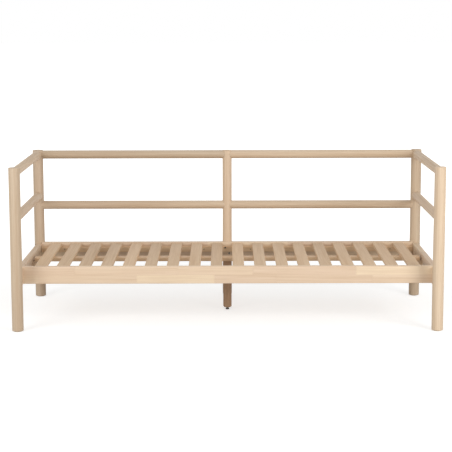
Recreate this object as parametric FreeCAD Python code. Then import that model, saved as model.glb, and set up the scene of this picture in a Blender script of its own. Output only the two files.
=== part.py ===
"""Wooden daybed: round posts and rails, a slatted seat frame, a centre beam and two levelling feet.

Units are millimetres. +X runs along the length to the right, +Y to the back, +Z up.
The origin is on the floor, midway between the four corner posts.
"""
import FreeCAD, Part
import math
import os

V = FreeCAD.Vector
X_AXIS = V(1, 0, 0)
Y_AXIS = V(0, 1, 0)
Z_AXIS = V(0, 0, 1)

# ---- corner posts and their glides
post_span_x = 2060.0          # between post axes along the length
post_span_y = 870.0           # between post axes from front to back
post_dia = 56.0
post_top = 807.0              # overall height
post_edge = 2.0               # rounding of a post's top edge
glide_dia = 40.0
glide_thick = 3.0
glide_pin_dia = 6.0
glide_pin_length = 18.0

# ---- back centre post
centre_post_dia = 50.0
centre_post_insert_dia = 12.0
centre_post_bolt_offset = 11.0    # each bolt's distance from the post's axis, one to each side
centre_post_bolt_drop_upper = 28.0
centre_post_bolt_drop_lower = 62.0

# ---- round rails
rail_dia = 45.0
rail_drop = 2.0               # tops of the top rails below the corner posts' tops
back_mid_rail_height = 506.0
arm_mid_rail_height = 557.0
tenon_dia = 18.0
tenon_tip = 11.0              # how near every tenon comes to the axis of its post

# ---- seat boards
board_thick = 30.0
board_height = 86.0
board_edge = 2.5
seat_top = 303.0              # top of the front and back rails
side_rail_drop = 6.0          # side rails lie this much lower
front_rail_setback = 95.0     # front posts' axis to the front rail's face
stub_tenon_thick = 14.0
stub_tenon_height = 28.0
stub_tenon_wall = 3.0         # wood between a side rail's tenon and the bolt below it

# ---- slats, their battens and pins
slat_count = 18
slat_width = 58.0
slat_thick = 17.0
slat_edge = 2.0
slat_recess = 5.0             # slat tops below the seat boards' tops
slat_end_gap = 1.0
cleat_depth = 22.0
cleat_height = 28.0
cleat_edge = 1.5
cleat_end_gap = 2.0
pin_dia = 6.0
pin_in_slat = 8.0
pin_in_cleat = 12.0

# ---- centre beam, its seats and its leg
beam_y = 72.0                 # beam's centre line, behind the middle of the bed
beam_width = 56.0
beam_thick = 20.0
beam_edge = 1.5
beam_end_gap = 9.0
beam_seat_depth = 30.0
beam_seat_height = 30.0
leg_dia = 44.0
leg_tenon_dia = 20.0
leg_tenon_length = 14.0
leg_chamfer = 5.0

# ---- levelling feet
foot_wood_gap = 12.0          # wood's lower end above the floor
foot_pad_dia = 20.0
foot_pad_top_dia = 17.0
foot_pad_height = 5.0
foot_socket_floor = 2.0
foot_collar_height = 3.0
foot_collar_flats = 13.0
foot_stud_dia = 8.0
foot_stud_length = 45.0
foot_play = 0.3               # stud above its socket's floor, collar above the pad
insert_dia = 12.0
insert_length = 20.0

# ---- bolts, barrel nuts and screws
bolt_dia = 6.0
bolt_head_dia = 10.0
bolt_head_height = 6.0
bolt_socket_flats = 5.0
bolt_socket_depth = 3.5
bolt_head_sink = 1.5          # head below the wood's face
bolt_inset = 17.0             # bolt axes from a board's lower and upper edges
barrel_dia = 10.0
barrel_length = 18.0
barrel_from_end = 33.0
barrel_cleat_gap = 0.3        # raises the upper bolts so that their barrel nuts clear the battens
bolt_past_barrel = 6.0
screw_dia = 4.0
screw_head_dia = 8.0
screw_head_height = 3.0
screw_tip = 4.0
cleat_screw_count = 8
cleat_screw_bite = 16.0
beam_screw_length = 45.0
beam_screw_from_end = 11.0
beam_seat_screw_half_spacing = 14.0

# ---- clearances
joint_gap = 0.15              # between scribed or butted faces
fit_gap = 0.10                # around a tenon, pin or shank, on the radius
thread_gap = 0.05             # around a thread, on the radius
end_gap = 1.0                 # past the end of a tenon or pin
head_gap = 0.5                # around a bolt head

# ---- places worked out from the values above
post_x = post_span_x / 2
post_y = post_span_y / 2
post_r = post_dia / 2
centre_post_r = centre_post_dia / 2
rail_r = rail_dia / 2
top_rail_height = post_top - rail_drop - rail_r
side_in = post_x - board_thick / 2
side_out = post_x + board_thick / 2
side_top = seat_top - side_rail_drop
side_bottom = side_top - board_height
seat_bottom = seat_top - board_height
front_face = -post_y + front_rail_setback
front_inner = front_face + board_thick
back_outer = post_y
back_inner = back_outer - board_thick
slat_top = seat_top - slat_recess
slat_bottom = slat_top - slat_thick
slat_gap = (2 * side_in - slat_count * slat_width) / (slat_count + 1)
slat_pitch = slat_width + slat_gap
beam_bottom = slat_bottom - beam_thick
beam_front = beam_y - beam_width / 2
beam_back = beam_y + beam_width / 2
beam_end = side_in - beam_end_gap
bolt_heights = (seat_bottom + bolt_inset, seat_top - bolt_inset + barrel_cleat_gap)
stub_bottom = bolt_heights[0] + bolt_dia / 2 + stub_tenon_wall
stub_top = stub_bottom + stub_tenon_height
front_bolt_y = (front_face + front_inner) / 2
back_bolt_y = (back_inner + back_outer) / 2
front_barrel_x = side_in - barrel_from_end
back_barrel_x = post_x - math.sqrt(post_r ** 2 - (back_outer - back_bolt_y) ** 2) - barrel_from_end
bolt_sink = bolt_head_height + bolt_head_sink
SIDES = {"left": -1, "right": 1}
ENDS = {"front": -1, "back": 1}


def box(x0, x1, y0, y1, z0, z1):
    return Part.makeBox(x1 - x0, y1 - y0, z1 - z0, V(x0, y0, z0))


def span(a, b):
    return (a, b) if a < b else (b, a)


def rod(start, direction, radius, length):
    return Part.makeCylinder(radius, length, start, direction)


def upright(x, y, radius, z0, z1):
    return rod(V(x, y, z0), Z_AXIS, radius, z1 - z0)


def board(limits, axis, edge):
    """A box whose long edges, those along axis, are rounded."""
    blank = box(*limits)
    along = [e for e in blank.Edges if abs(e.tangentAt(e.FirstParameter).dot(axis)) > 0.99]
    return blank.makeFillet(edge, along)


def round_top(post, z, edge):
    rims = [e for e in post.Edges if abs(e.BoundBox.ZMin - z) < 0.01 and abs(e.BoundBox.ZMax - z) < 0.01]
    return post.makeFillet(edge, rims)


def save(name, shape):
    shape.exportStep("parts/%s.step" % name)


def save_group(name, solids):
    save(name, Part.makeCompound(solids))


def mortise(x, y, z, direction, radius):
    """Round hole for a rail's tenon, from near the post's axis out through its side."""
    start = V(x, y, z) + direction * (tenon_tip - end_gap)
    return rod(start, direction, tenon_dia / 2 + fit_gap, radius)


def stub_mortise(x, y, side_y):
    """Flat hole in a corner post for a side rail's stub tenon."""
    half = stub_tenon_thick / 2 + fit_gap
    y0, y1 = span(y + side_y * (tenon_tip - end_gap), y + side_y * post_dia)
    return box(x - half, x + half, y0, y1, stub_bottom - fit_gap, stub_top + fit_gap)


def corner_post(sx, sy):
    """One corner post, with the holes for its rails, its glide and, at the back, its bolts."""
    x = sx * post_x
    y = sy * post_y
    post = round_top(upright(x, y, post_r, glide_thick, post_top), post_top, post_edge)
    for z in (arm_mid_rail_height, top_rail_height):
        post = post.cut(mortise(x, y, z, Y_AXIS * -sy, post_dia))
    post = post.cut(stub_mortise(x, y, -sy))
    if sy > 0:
        for z in (back_mid_rail_height, top_rail_height):
            post = post.cut(mortise(x, y, z, X_AXIS * -sx, post_dia))
        for z in bolt_heights:
            post = post.cut(bolt_way(V(back_head_x() * sx, back_bolt_y, z), X_AXIS * -sx))
    pin_hole = upright(x, y, glide_pin_dia / 2 + fit_gap, 0, glide_thick + glide_pin_length + end_gap)
    return post.cut(pin_hole)


def post_glide(sx, sy):
    """Floor glide under a corner post, with the pin that holds it in the wood."""
    disc = upright(sx * post_x, sy * post_y, glide_dia / 2, 0, glide_thick)
    pin = upright(sx * post_x, sy * post_y, glide_pin_dia / 2, 0, glide_thick + glide_pin_length)
    return disc.fuse(pin).removeSplitter()


def centre_post():
    """Back centre post, notched over the back rail and bolted to it."""
    top = post_top - rail_drop
    post = round_top(upright(0, post_y, centre_post_r, foot_wood_gap, top), top, post_edge)
    notch = box(-post_dia, post_dia, back_inner - post_dia, back_outer + joint_gap,
                seat_bottom - joint_gap, seat_top + joint_gap)
    post = post.cut(notch)
    for z in (back_mid_rail_height, top_rail_height):
        for sx in SIDES.values():
            post = post.cut(mortise(0, post_y, z, X_AXIS * sx, centre_post_dia))
    for x, z in centre_bolt_places():
        depth = insert_bite() + end_gap
        post = post.cut(rod(V(x, back_outer, z), Y_AXIS, centre_post_insert_dia / 2 + thread_gap, depth))
    return drill_foot(post, 0, post_y)


def round_rail(a, b, radius_a, radius_b):
    """Round rail between two post axes, hollowed to the posts and with a turned tenon at each end."""
    run = b - a
    length = run.Length
    way = run / length
    rail = rod(a, way, rail_r, length)
    rail = rail.cut(upright(a.x, a.y, radius_a + joint_gap, a.z - rail_dia, a.z + rail_dia))
    rail = rail.cut(upright(b.x, b.y, radius_b + joint_gap, a.z - rail_dia, a.z + rail_dia))
    tenon = rod(a + way * tenon_tip, way, tenon_dia / 2, length - 2 * tenon_tip)
    return rail.fuse(tenon).removeSplitter()


def arm_rail(sx, z):
    return round_rail(V(sx * post_x, -post_y, z), V(sx * post_x, post_y, z), post_r, post_r)


def back_half_rail(sx, z):
    """Half of a back rail, hollowed a little at its outer end where an arm rail lies beside it."""
    rail = round_rail(V(0, post_y, z), V(sx * post_x, post_y, z), centre_post_r, post_r)
    for arm_z in (arm_mid_rail_height, top_rail_height):
        beside = rod(V(sx * post_x, -post_y, arm_z), Y_AXIS, rail_r + joint_gap, post_span_y - tenon_dia / 2)
        rail = rail.cut(beside)
    return rail


def side_rail(sx):
    """Side board between a front and a back post, scribed to both, with stub tenons."""
    x0, x1 = span(sx * side_in, sx * side_out)
    rail = board((x0, x1, -post_y, post_y, side_bottom, side_top), Y_AXIS, board_edge)
    for sy in ENDS.values():
        scribe = upright(sx * post_x, sy * post_y, post_r + joint_gap, 0, post_top)
        rail = rail.cut(scribe)
    half = stub_tenon_thick / 2
    reach = post_y - tenon_tip
    tenon = box(sx * post_x - half, sx * post_x + half, -reach, reach, stub_bottom, stub_top)
    rail = rail.fuse(tenon).removeSplitter()
    for z in bolt_heights:
        rail = rail.cut(bolt_way(V(sx * front_head_x(), front_bolt_y, z), X_AXIS * -sx))
    for y in beam_seat_screw_ys():
        start = V(sx * side_in, y, beam_seat_mid())
        rail = rail.cut(rod(start, X_AXIS * sx, screw_dia / 2 + thread_gap, beam_seat_bite() + end_gap))
    return rail


def front_rail():
    """Front board between the side rails, set back behind the front posts."""
    reach = side_in - joint_gap
    rail = board((-reach, reach, front_face, front_inner, seat_bottom, seat_top), X_AXIS, board_edge)
    for sx in SIDES.values():
        for z in bolt_heights:
            rail = rail.cut(bolt_way(V(sx * front_head_x(), front_bolt_y, z), X_AXIS * -sx))
            rail = rail.cut(barrel_hole(sx * front_barrel_x, front_bolt_y, z, front_inner))
    return rail.cut(cleat_screw_holes(-1))


def back_rail():
    """Back board, scribed to the back posts and running through the centre post's notch."""
    reach = side_in - joint_gap
    rail = board((-reach, reach, back_inner, back_outer, seat_bottom, seat_top), X_AXIS, board_edge)
    for sx in SIDES.values():
        rail = rail.cut(upright(sx * post_x, post_y, post_r + joint_gap, 0, post_top))
        for z in bolt_heights:
            rail = rail.cut(bolt_way(V(sx * back_head_x(), back_bolt_y, z), X_AXIS * -sx))
            rail = rail.cut(barrel_hole(sx * back_barrel_x, back_bolt_y, z, back_outer))
    for x, z in centre_bolt_places():
        rail = rail.cut(rod(V(x, back_inner, z), Y_AXIS, bolt_dia / 2 + fit_gap, board_thick))
    return rail.cut(cleat_screw_holes(1))


def cleat_faces(sy):
    """Front and back limits, in Y, of the batten on the front or the back rail."""
    if sy < 0:
        return front_inner, front_inner + cleat_depth
    return back_inner - cleat_depth, back_inner


def cleat_y(sy):
    return sum(cleat_faces(sy)) / 2


def slat_cleat(sy):
    """Batten that carries one end of every slat."""
    reach = side_in - cleat_end_gap
    y0, y1 = cleat_faces(sy)
    cleat = board((-reach, reach, y0, y1, slat_bottom - cleat_height, slat_bottom), X_AXIS, cleat_edge)
    for x in slat_xs():
        hole = upright(x, cleat_y(sy), pin_dia / 2 + fit_gap, slat_bottom - pin_in_cleat - end_gap,
                       slat_bottom)
        cleat = cleat.cut(hole)
    if sy > 0:
        x, z = centre_bolt_places()[0]
        cleat = cleat.cut(rod(V(x, y0, z), Y_AXIS, bolt_head_dia / 2 + head_gap, cleat_depth))
    return cleat.cut(cleat_screw_holes(sy))


def slat_xs():
    first = -side_in + slat_gap + slat_width / 2
    return [first + slat_pitch * i for i in range(slat_count)]


def slat(x):
    """One seat slat, resting on both battens and on the beam."""
    limits = (x - slat_width / 2, x + slat_width / 2, front_inner + slat_end_gap,
              back_inner - slat_end_gap, slat_bottom, slat_top)
    piece = board(limits, Y_AXIS, slat_edge)
    for sy in ENDS.values():
        piece = piece.cut(upright(x, cleat_y(sy), pin_dia / 2 + fit_gap, slat_bottom,
                                  slat_bottom + pin_in_slat + end_gap))
    return piece


def slat_pin(x, sy):
    return upright(x, cleat_y(sy), pin_dia / 2, slat_bottom - pin_in_cleat, slat_bottom + pin_in_slat)


def cleat_screw_xs():
    step = 2 * side_in / cleat_screw_count
    return [-side_in + step * (i + 0.5) for i in range(cleat_screw_count)]


def cleat_screw_height():
    return slat_bottom - cleat_height / 2


def cleat_screw_holes(sy):
    """Holes through one batten and into its rail, with the countersinks."""
    y0, y1 = cleat_faces(sy)
    head_face = y1 if sy < 0 else y0
    holes = []
    for x in cleat_screw_xs():
        start = V(x, head_face, cleat_screw_height())
        holes.append(screw_hole(start, Y_AXIS * sy, cleat_depth + cleat_screw_bite))
    return Part.makeCompound(holes)


def cleat_screws():
    """All the screws that hold both battens."""
    screws = []
    for sy in ENDS.values():
        y0, y1 = cleat_faces(sy)
        head_face = y1 if sy < 0 else y0
        for x in cleat_screw_xs():
            start = V(x, head_face, cleat_screw_height())
            screws.append(screw(start, Y_AXIS * sy, cleat_depth + cleat_screw_bite))
    return screws


def centre_beam():
    """Flat beam along the bed that carries the middle of the slats."""
    limits = (-beam_end, beam_end, beam_front, beam_back, beam_bottom, slat_bottom)
    beam = board(limits, X_AXIS, beam_edge)
    socket = upright(0, beam_y, leg_tenon_dia / 2 + fit_gap, beam_bottom,
                     beam_bottom + leg_tenon_length + end_gap)
    beam = beam.cut(socket)
    for start, way in beam_screw_places():
        if way.z < 0:
            beam = beam.cut(screw_hole(start, way, beam_screw_length))
    return beam


def beam_seat_mid():
    return beam_bottom - beam_seat_height / 2


def beam_seat_bite():
    return beam_screw_length - beam_seat_depth


def beam_seat_screw_ys():
    return (beam_y - beam_seat_screw_half_spacing, beam_y + beam_seat_screw_half_spacing)


def beam_seat(sx):
    """Block on a side rail that carries one end of the beam."""
    x0, x1 = span(sx * (side_in - beam_seat_depth), sx * side_in)
    seat = board((x0, x1, beam_front, beam_back, beam_bottom - beam_seat_height, beam_bottom),
                 Y_AXIS, beam_edge)
    for start, way in beam_screw_places():
        if start.x * sx > 0:
            seat = seat.cut(screw_hole(start, way, beam_screw_length))
    return seat


def beam_screw_places():
    """Head centre and direction of each screw at the beam's two ends."""
    places = []
    for sx in SIDES.values():
        places.append((V(sx * (beam_end - beam_screw_from_end), beam_y, slat_bottom), Z_AXIS * -1))
        for y in beam_seat_screw_ys():
            places.append((V(sx * (side_in - beam_seat_depth), y, beam_seat_mid()), X_AXIS * sx))
    return places


def centre_leg():
    """Round leg under the beam, with a turned tenon and a levelling foot below."""
    leg = upright(0, beam_y, leg_dia / 2, foot_wood_gap, beam_bottom)
    rims = [e for e in leg.Edges if e.BoundBox.ZMax < foot_wood_gap + 0.01]
    leg = leg.makeChamfer(leg_chamfer, rims)
    tenon = upright(0, beam_y, leg_tenon_dia / 2, beam_bottom, beam_bottom + leg_tenon_length)
    return drill_foot(leg.fuse(tenon).removeSplitter(), 0, beam_y)


def drill_foot(wood, x, y):
    """Bores in a leg's lower end for the threaded insert and the stud above it."""
    wood = wood.cut(upright(x, y, insert_dia / 2 + thread_gap, 0, foot_wood_gap + insert_length))
    stud_bore = upright(x, y, foot_stud_dia / 2 + end_gap, 0, foot_stud_length + foot_wood_gap)
    return wood.cut(stud_bore)


def foot_insert(x, y):
    """Threaded insert in a leg's lower end."""
    body = upright(x, y, insert_dia / 2, foot_wood_gap, foot_wood_gap + insert_length)
    return body.cut(upright(x, y, foot_stud_dia / 2 + thread_gap, 0, post_top))


def foot_pad(x, y):
    """Round pad on the floor, with a socket in which the stud turns."""
    pad = Part.makeCone(foot_pad_dia / 2, foot_pad_top_dia / 2, foot_pad_height, V(x, y, 0), Z_AXIS)
    return pad.cut(upright(x, y, foot_stud_dia / 2 + thread_gap, foot_socket_floor, foot_pad_height))


def foot_stud(x, y):
    """Threaded stud with a hexagonal collar for a spanner."""
    foot = foot_socket_floor + foot_play
    stud = upright(x, y, foot_stud_dia / 2, foot, foot_stud_length)
    corner = foot_collar_flats / 2 / math.cos(math.pi / 6)
    bottom = foot_pad_height + foot_play
    points = [V(x + corner * math.cos(a * math.pi / 3), y + corner * math.sin(a * math.pi / 3), bottom)
              for a in range(7)]
    collar = Part.Face(Part.makePolygon(points)).extrude(Z_AXIS * foot_collar_height)
    return stud.fuse(collar).removeSplitter()


def front_head_x():
    """Seat of a front bolt's head in the side rail's outer face."""
    return side_out - bolt_sink


def back_head_x():
    """Seat of a back bolt's head in the back post's outer side."""
    return post_x + math.sqrt(post_r ** 2 - (back_outer - back_bolt_y) ** 2) - bolt_sink


def bolt_way(seat, direction):
    """Clearance for a bolt: its shank along direction and its head's counterbore behind the seat."""
    reach = post_dia + barrel_from_end + bolt_past_barrel + bolt_sink
    shank = rod(seat, direction, bolt_dia / 2 + fit_gap, reach)
    head = rod(seat, direction * -1, bolt_head_dia / 2 + head_gap, post_dia)
    return shank.fuse(head)


def bolt(seat, direction, length):
    """Socket-head bolt whose head sits on seat and whose shank runs along direction."""
    shank = rod(seat, direction, bolt_dia / 2, length)
    head = rod(seat, direction * -1, bolt_head_dia / 2, bolt_head_height)
    across = bolt_socket_flats / math.sqrt(3)
    side = Z_AXIS
    other = direction.cross(side)
    top = seat - direction * bolt_head_height
    points = [top + side * (across * math.cos(a * math.pi / 3)) + other * (across * math.sin(a * math.pi / 3))
              for a in range(7)]
    socket = Part.Face(Part.makePolygon(points)).extrude(direction * bolt_socket_depth)
    return shank.fuse(head).cut(socket).removeSplitter()


def barrel_hole(x, y, z, open_face):
    """Cross hole for a barrel nut, open at the rail's hidden face."""
    start = V(x, y - barrel_length / 2 - end_gap, z)
    return rod(start, Y_AXIS, barrel_dia / 2 + fit_gap, open_face - start.y)


def barrel_nut(x, y, z):
    nut = rod(V(x, y - barrel_length / 2, z), Y_AXIS, barrel_dia / 2, barrel_length)
    return nut.cut(rod(V(x - barrel_dia, y, z), X_AXIS, bolt_dia / 2 + thread_gap, 2 * barrel_dia))


def seat_bolts(head_x, barrel_x, y):
    """Four bolts, two at each end of the front or the back rail."""
    length = head_x - barrel_x + bolt_past_barrel
    return [bolt(V(sx * head_x, y, z), X_AXIS * -sx, length) for sx in SIDES.values() for z in bolt_heights]


def barrel_nuts():
    """The nuts of all the seat bolts."""
    nuts = []
    for x, y in ((front_barrel_x, front_bolt_y), (back_barrel_x, back_bolt_y)):
        for sx in SIDES.values():
            for z in bolt_heights:
                nuts.append(barrel_nut(sx * x, y, z))
    return nuts


def centre_bolt_places():
    """X and Z of the two bolts through the back rail into the centre post."""
    return ((-centre_post_bolt_offset, seat_top - centre_post_bolt_drop_upper),
            (centre_post_bolt_offset, seat_top - centre_post_bolt_drop_lower))


def insert_bite():
    """Depth of the bolts' threaded inserts in what the notch leaves of the centre post."""
    edge = centre_post_bolt_offset + centre_post_insert_dia / 2
    return math.sqrt(centre_post_r ** 2 - edge ** 2) - 2 * end_gap


def centre_post_bolts():
    length = board_thick + insert_bite() - end_gap
    return [bolt(V(x, back_inner, z), Y_AXIS, length) for x, z in centre_bolt_places()]


def centre_post_inserts():
    """Threaded inserts that take the centre post's two bolts."""
    inserts = []
    for x, z in centre_bolt_places():
        start = V(x, back_outer + joint_gap, z)
        body = rod(start, Y_AXIS, centre_post_insert_dia / 2, insert_bite())
        inserts.append(body.cut(rod(start, Y_AXIS, bolt_dia / 2 + thread_gap, insert_bite())))
    return inserts


def screw_profile(start, direction, length, gap):
    """Countersunk screw, or with a gap above zero the hole that it sits in."""
    head = Part.makeCone(screw_head_dia / 2 + gap, screw_dia / 2 + gap, screw_head_height, start, direction)
    shank = rod(start, direction, screw_dia / 2 + gap, length - screw_tip)
    tip_start = start + direction * (length - screw_tip)
    tip = Part.makeCone(screw_dia / 2 + gap, gap, screw_tip, tip_start, direction)
    return head.fuse(shank).fuse(tip).removeSplitter()


def screw(start, direction, length):
    return screw_profile(start, direction, length, 0)


def screw_hole(start, direction, length):
    return screw_profile(start, direction, length + joint_gap, thread_gap)


def build():
    os.makedirs("parts", exist_ok=True)
    for end, sy in ENDS.items():
        for side, sx in SIDES.items():
            save("post_%s_%s" % (end, side), corner_post(sx, sy))
            save("glide_%s_%s" % (end, side), post_glide(sx, sy))
        save("slat_cleat_%s" % end, slat_cleat(sy))
    for side, sx in SIDES.items():
        save("arm_top_rail_%s" % side, arm_rail(sx, top_rail_height))
        save("arm_mid_rail_%s" % side, arm_rail(sx, arm_mid_rail_height))
        save("back_top_rail_%s" % side, back_half_rail(sx, top_rail_height))
        save("back_mid_rail_%s" % side, back_half_rail(sx, back_mid_rail_height))
        save("side_rail_%s" % side, side_rail(sx))
        save("beam_seat_%s" % side, beam_seat(sx))
    save("post_back_centre", centre_post())
    save("front_rail", front_rail())
    save("back_rail", back_rail())
    for number, x in enumerate(slat_xs(), start=1):
        save("slat_%02d" % number, slat(x))
    save("centre_beam", centre_beam())
    save("centre_leg", centre_leg())
    for name, y in (("centre_leg", beam_y), ("centre_post", post_y)):
        save("%s_foot_insert" % name, foot_insert(0, y))
        save("%s_foot_pad" % name, foot_pad(0, y))
        save("%s_foot_stud" % name, foot_stud(0, y))
    save_group("slat_pins", [slat_pin(x, sy) for sy in ENDS.values() for x in slat_xs()])
    save_group("cleat_screws", cleat_screws())
    save_group("beam_screws", [screw(start, way, beam_screw_length) for start, way in beam_screw_places()])
    save_group("front_rail_bolts", seat_bolts(front_head_x(), front_barrel_x, front_bolt_y))
    save_group("back_rail_bolts", seat_bolts(back_head_x(), back_barrel_x, back_bolt_y))
    save_group("barrel_nuts", barrel_nuts())
    save_group("centre_post_bolts", centre_post_bolts())
    save_group("centre_post_inserts", centre_post_inserts())


build()
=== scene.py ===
"""Daybed in pale hardwood: the visual pieces, their finishes and the stage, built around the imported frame.

Metres, with X along the bed, Y to the back and Z up. Every piece keeps its place in its own mesh.
"""
import math
import random

import bmesh
import bpy
from bpy.props import FloatProperty, FloatVectorProperty, IntProperty, PointerProperty
from mathutils import Euler, Matrix, Vector


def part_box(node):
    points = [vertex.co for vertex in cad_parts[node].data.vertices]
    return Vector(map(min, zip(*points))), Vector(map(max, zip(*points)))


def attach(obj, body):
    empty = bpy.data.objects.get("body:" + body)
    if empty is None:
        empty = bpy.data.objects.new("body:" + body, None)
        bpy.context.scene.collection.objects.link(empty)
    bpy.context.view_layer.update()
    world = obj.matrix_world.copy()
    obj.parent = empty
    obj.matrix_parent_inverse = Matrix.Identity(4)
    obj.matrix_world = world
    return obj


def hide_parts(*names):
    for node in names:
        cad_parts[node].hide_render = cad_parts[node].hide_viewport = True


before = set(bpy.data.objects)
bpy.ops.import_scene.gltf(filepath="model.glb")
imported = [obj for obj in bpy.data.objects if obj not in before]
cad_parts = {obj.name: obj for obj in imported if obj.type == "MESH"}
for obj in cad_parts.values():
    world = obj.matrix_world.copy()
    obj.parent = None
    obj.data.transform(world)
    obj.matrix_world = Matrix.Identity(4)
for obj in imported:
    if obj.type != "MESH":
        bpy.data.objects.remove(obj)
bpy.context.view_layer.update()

bl_info = {
    "name": "Wooden Daybed",
    "version": (1, 0, 0),
    "blender": (4, 5, 0),
    "location": "View3D > Sidebar > Daybed",
    "description": "Builds a slatted wooden daybed with round posts and rails",
    "category": "Add Mesh",
}

MM = 0.001
AXES = {"X": Vector((1, 0, 0)), "Y": Vector((0, 1, 0)), "Z": Vector((0, 0, 1))}
SIDES = ("left", "right")
ENDS = ("front", "back")
HALVES = {"left": -1, "right": 1, "front": -1, "back": 1}
SMOOTH_ANGLE = math.radians(35)
BOX_SLACK = 1.5 * MM                # how far a piece may pass the frame nodes that it stands for


def middle(node):
    """Centre of a frame node's box."""
    low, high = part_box(node)
    return (low + high) / 2


def extent(node):
    """Size of a frame node's box."""
    low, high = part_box(node)
    return high - low


def slat_nodes():
    """Names of the slats, from left to right."""
    return sorted(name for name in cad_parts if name.startswith(("slat_0", "slat_1")))


# ---------------------------------------------------------------- sizes and colours


def length_property(name, description, default):
    return FloatProperty(name=name, description=description, default=default, min=0.0, unit="LENGTH",
                         subtype="DISTANCE", precision=4)


def colour_property(name, description, default):
    return FloatVectorProperty(name=name, description=description, default=default, min=0.0, max=1.0,
                               size=3, subtype="COLOR_GAMMA")


class DaybedSizes(bpy.types.PropertyGroup):
    """Sizes of the details that the pieces are made with."""

    post_rounding: length_property("Post rounding", "Rounding of a post's top edge", 2.0 * MM)
    foot_chamfer: length_property("Foot chamfer", "Small chamfer round a post's lower end", 1.2 * MM)
    board_rounding: length_property("Board rounding", "Rounding of a seat board's long edges", 2.5 * MM)
    slat_rounding: length_property("Slat rounding", "Rounding of a slat's long edges", 2.0 * MM)
    batten_rounding: length_property("Batten rounding", "Rounding of the battens' and beam edges", 1.5 * MM)
    fitting_gap: length_property("Fitting gap", "Gap between a rail's end and the post it meets", 0.15 * MM)
    leg_chamfer: length_property("Leg chamfer", "Chamfer round the centre leg's lower end", 5.0 * MM)
    thread_pitch: length_property("Thread pitch", "Pitch of the levelling feet's threads", 1.25 * MM)
    thread_depth: length_property("Thread depth", "Depth of the levelling feet's threads", 0.7 * MM)
    bolt_socket: length_property("Bolt socket", "Width across the flats of a bolt's socket", 5.0 * MM)
    slat_count: IntProperty(name="Slats", description="Number of slats in the seat",
                            default=len(slat_nodes()), min=2)
    slat_width: length_property("Slat width", "Width of one slat", extent("slat_01").x)
    slat_thickness: length_property("Slat thickness", "Thickness of one slat", extent("slat_01").z)
    round_faces: IntProperty(name="Round faces", description="Faces round a post or a rail",
                             default=64, min=16)


class DaybedColours(bpy.types.PropertyGroup):
    """Colours of the wood, the fittings and the stage."""

    wood_light: colour_property("Light wood", "Pale early wood", (0.915, 0.832, 0.735))
    wood_dark: colour_property("Dark wood", "Darker late wood and fibres", (0.800, 0.688, 0.565))
    wood_pink: colour_property("Pink wood", "Pinkish boards and staves", (0.868, 0.768, 0.682))
    wood_yellow: colour_property("Yellow wood", "Yellowish boards and staves", (0.925, 0.845, 0.722))
    # partly the wood's own hue, partly painted warm reflected light on the slats and battens
    seat_hue_and_warm_light: colour_property("Seat cast", "Warm cast of the slats and battens", (0.985, 0.955, 0.910))
    # painted shade: the centre leg's darker, redder tint stands in for the warm shade under the seat
    leg_shade_tint: colour_property("Leg cast", "Darker, redder cast of the centre leg", (0.940, 0.860, 0.800))
    end_grain: colour_property("Pores", "Pores, end grain and glue lines", (0.560, 0.430, 0.320))
    zinc: colour_property("Zinc", "Dull zinc-plated fittings", (0.520, 0.500, 0.470))
    plastic: colour_property("Foot plastic", "Black moulded feet", (0.075, 0.072, 0.070))
    nylon: colour_property("Glide nylon", "Tan glides under the posts", (0.690, 0.600, 0.500))
    floor: colour_property("Floor", "Floor", (0.800, 0.800, 0.795))


class DaybedStage(bpy.types.PropertyGroup):
    """Lamps, surroundings and camera."""

    key_power: FloatProperty(name="Right lamp", description="Power of the large lamp at the right front",
                             default=104.0, min=0.0, subtype="POWER", unit="POWER")
    fill_power: FloatProperty(name="Left lamp", description="Power of the large lamp at the left front",
                              default=78.0, min=0.0, subtype="POWER", unit="POWER")
    surround: FloatProperty(name="Surroundings", description="Strength of the even light from all round",
                            default=0.54, min=0.0)
    lens: FloatProperty(name="Lens", description="Camera lens on a 36 mm sensor", default=111.92 * MM,
                        min=0.01, unit="LENGTH")
    distance: length_property("Camera distance", "Camera's distance in front of the bed's middle", 7.1842)
    height: length_property("Camera height", "Camera's height above the floor", 1.5534)
    pitch: FloatProperty(name="Camera pitch", description="Camera's tilt below the horizon",
                         default=math.radians(8.704), subtype="ANGLE", unit="ROTATION")
    roll: FloatProperty(name="Camera roll", description="Camera's roll, right side down",
                        default=math.radians(0.121), subtype="ANGLE", unit="ROTATION")


def sizes():
    return bpy.context.scene.daybed_sizes


def colours():
    return bpy.context.scene.daybed_colours


def stage_settings():
    return bpy.context.scene.daybed_stage


# ---------------------------------------------------------------- materials


def linear(colour):
    """A display colour as the scene-linear RGBA that a shader reads."""
    channels = [c / 12.92 if c <= 0.04045 else ((c + 0.055) / 1.055) ** 2.4 for c in colour]
    return (*channels, 1.0)


CONSTANT_SOCKETS = {"specular": "Specular IOR Level", "metallic": "Metallic"}
FINISH_PREFIX = "daybed_"           # keeps these materials apart from the frame's own


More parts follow.
